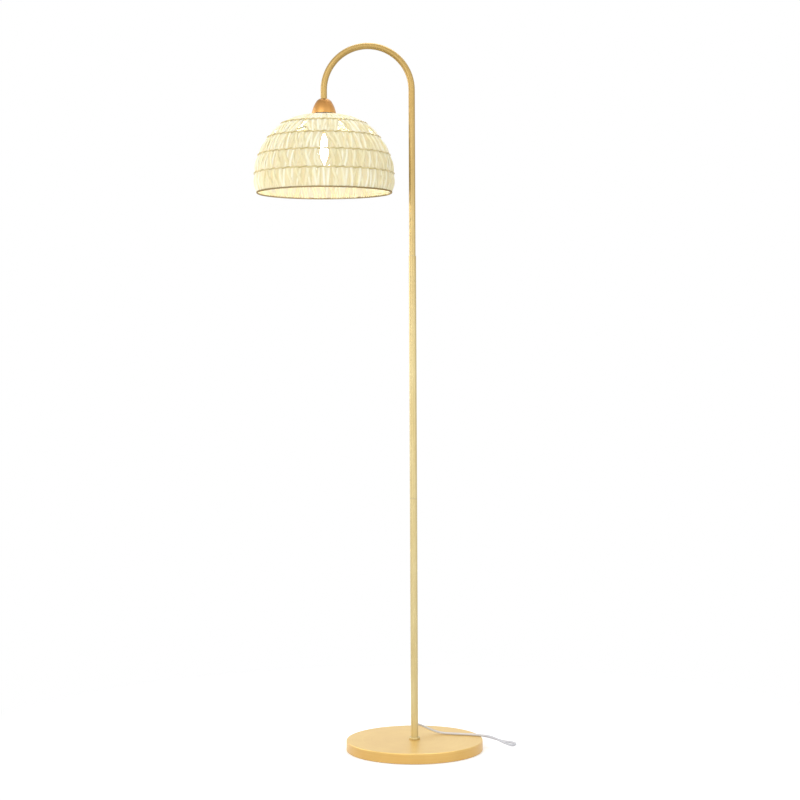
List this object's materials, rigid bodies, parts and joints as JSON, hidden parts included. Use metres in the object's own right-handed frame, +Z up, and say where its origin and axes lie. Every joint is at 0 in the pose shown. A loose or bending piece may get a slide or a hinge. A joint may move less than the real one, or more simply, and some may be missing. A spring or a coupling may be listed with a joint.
{
  "type": "floor lamp",
  "caption": "Floor lamp with a round weighted base, a slim pole whose top bends over in a half circle, and an open woven dome shade that hangs from the bent end.",
  "frame": {"origin": "centre of the base's underside, on the floor", "axes": "+Z up along the pole, -X from the pole towards the hanging shade, +Y towards the back, where the spare cord lies"},
  "size_m": [0.5729, 0.3592, 1.5505],
  "materials": {
    "brass_tube": "satin lacquered",
    "brass_base": "satin brass plated",
    "brass_cap": "satin lacquered",
    "brass_fittings": "plain turned",
    "zinc_steel": "zinc plated",
    "concrete": "cast",
    "foam": "matte",
    "holder_plastic": "moulded",
    "porcelain": "glazed",
    "cane": "natural peeled cane",
    "cane_hoop": "natural wrapped cane",
    "opal_glass": "opal",
    "cord_plastic": "moulded"
  },
  "bodies": {
    "root": {"base_pad": "foam", "base_weight": "concrete", "base_cover": "brass_base", "base_washer": "zinc_steel", "base_bolt": "zinc_steel", "pole_collar": "brass_tube", "pole_foot_bush": "zinc_steel", "pole_lower": "brass_tube", "pole_joiner": "zinc_steel", "pole_middle": "brass_tube", "arch_joiner": "zinc_steel", "arch_tube": "brass_tube", "arch_end_nipple": "brass_fittings", "shade_cap": "brass_cap", "cap_lock_nut": "zinc_steel", "holder_cap": "holder_plastic", "holder_body": "holder_plastic", "holder_insert": "porcelain", "holder_thread_shell": "brass_fittings", "holder_contact": "brass_fittings", "shade_spider": "zinc_steel", "weave_crown": "cane", "weave_tier_1": "cane", "weave_tier_2": "cane", "weave_tier_3": "cane", "weave_tier_4": "cane", "crown_hoop": "cane_hoop", "hoop_1": "cane_hoop", "hoop_2": "cane_hoop", "hoop_3": "cane_hoop", "rim_hoop": "cane_hoop", "inner_cord": "cord_plastic", "strain_relief": "cord_plastic", "cord_run": "cord_plastic", "cord_hank": "cord_plastic", "cord_tail": "cord_plastic", "hank_tie": "foam", "plug_body": "cord_plastic", "plug_blade_1": "brass_fittings", "plug_blade_2": "brass_fittings"},
    "bulb": {"bulb_glass": "opal_glass", "bulb_screw_cap": "brass_fittings", "bulb_insulator": "holder_plastic", "bulb_tip": "brass_fittings"},
    "ring_nut": {"shade_ring_nut": "holder_plastic"},
    "switch_key": {"holder_switch_key": "holder_plastic"}
  },
  "joints": [
    {"name": "bulb_out", "type": "slide", "parent": "root", "child": "bulb", "axis": [0, 0, -1], "range_m": [0, 0.17]},
    {"name": "ring_nut_turn", "type": "hinge", "parent": "root", "child": "ring_nut", "pos_m": [-0.192, 0, 1.3693], "axis": [0, 0, 1], "continuous": true},
    {"name": "switch_key_turn", "type": "hinge", "parent": "root", "child": "switch_key", "pos_m": [-0.192, -0.02, 1.3854], "axis": [0, -1, 0], "continuous": true}
  ]
}
